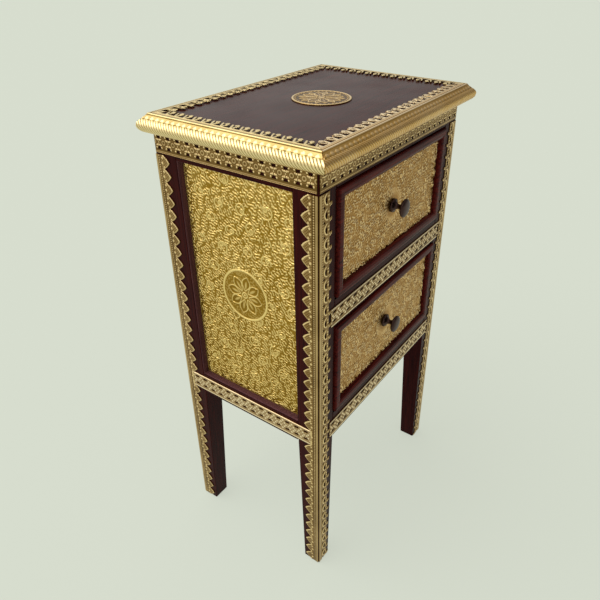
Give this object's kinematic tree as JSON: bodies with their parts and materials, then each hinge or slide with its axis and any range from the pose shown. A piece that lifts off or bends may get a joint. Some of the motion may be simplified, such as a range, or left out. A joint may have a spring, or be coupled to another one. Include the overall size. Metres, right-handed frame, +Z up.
{
  "type": "bedside cabinet",
  "caption": "Narrow bedside cabinet with framed drawers on tapered square legs, dark polished wood clad in embossed and pierced brass, with a moulded top.",
  "frame": {"origin": "on the floor under the middle of the part's bounding box, drawers shut", "axes": "+Z up, -Y the way the drawer fronts face, +X to the right for someone who stands in front of the drawers"},
  "size_m": [0.3506, 0.2468, 0.61],
  "materials": {
    "mahogany": "dark red-brown, French polished",
    "drawer_wood": "bare planed softwood, never polished",
    "brass": "embossed sheet, aged in its hollows",
    "bronze": "dark antique patina",
    "steel": "plain"
  },
  "bodies": {
    "carcass": {"leg_front_left": "mahogany", "leg_front_right": "mahogany", "leg_back_left": "mahogany", "leg_back_right": "mahogany", "front_rail_top": "mahogany", "front_rail_middle": "mahogany", "front_rail_bottom": "mahogany", "side_rail_top_left": "mahogany", "side_rail_bottom_left": "mahogany", "side_rail_top_right": "mahogany", "side_rail_bottom_right": "mahogany", "back_rail_top": "mahogany", "back_rail_bottom": "mahogany", "back_panel": "mahogany", "side_panel_left": "mahogany", "side_panel_right": "mahogany", "top_board": "mahogany", "runner_lower_left": "drawer_wood", "runner_lower_right": "drawer_wood", "runner_upper_left": "drawer_wood", "runner_upper_right": "drawer_wood", "top_edge_front": "brass", "top_edge_back": "brass", "top_edge_left": "brass", "top_edge_right": "brass", "top_medallion": "brass", "leaf_strip_front_left": "brass", "leaf_strip_front_right": "brass", "leaf_strip_back_left": "brass", "leaf_strip_back_right": "brass", "scroll_strip_left": "brass", "scroll_strip_right": "brass", "front_band_top": "brass", "front_band_middle": "brass", "front_band_bottom": "brass", "side_band_top_left": "brass", "side_band_top_right": "brass", "side_band_bottom_left": "brass", "side_band_bottom_right": "brass", "side_sheet_left": "brass", "side_sheet_right": "brass"},
    "drawer_lower": {"drawer_front_lower": "mahogany", "drawer_frame_lower": "mahogany", "drawer_sheet_lower": "brass", "drawer_side_lower_left": "drawer_wood", "drawer_side_lower_right": "drawer_wood", "drawer_back_lower": "drawer_wood", "drawer_bottom_lower": "drawer_wood", "knob_lower": "bronze", "knob_screw_lower": "steel"},
    "drawer_upper": {"drawer_front_upper": "mahogany", "drawer_frame_upper": "mahogany", "drawer_sheet_upper": "brass", "drawer_side_upper_left": "drawer_wood", "drawer_side_upper_right": "drawer_wood", "drawer_back_upper": "drawer_wood", "drawer_bottom_upper": "drawer_wood", "knob_upper": "bronze", "knob_screw_upper": "steel"}
  },
  "joints": [
    {"name": "drawer_lower_slide", "type": "slide", "parent": "carcass", "child": "drawer_lower", "axis": [0, -1, 0], "range_m": [0, 0.14]},
    {"name": "drawer_upper_slide", "type": "slide", "parent": "carcass", "child": "drawer_upper", "axis": [0, -1, 0], "range_m": [0, 0.14]}
  ]
}
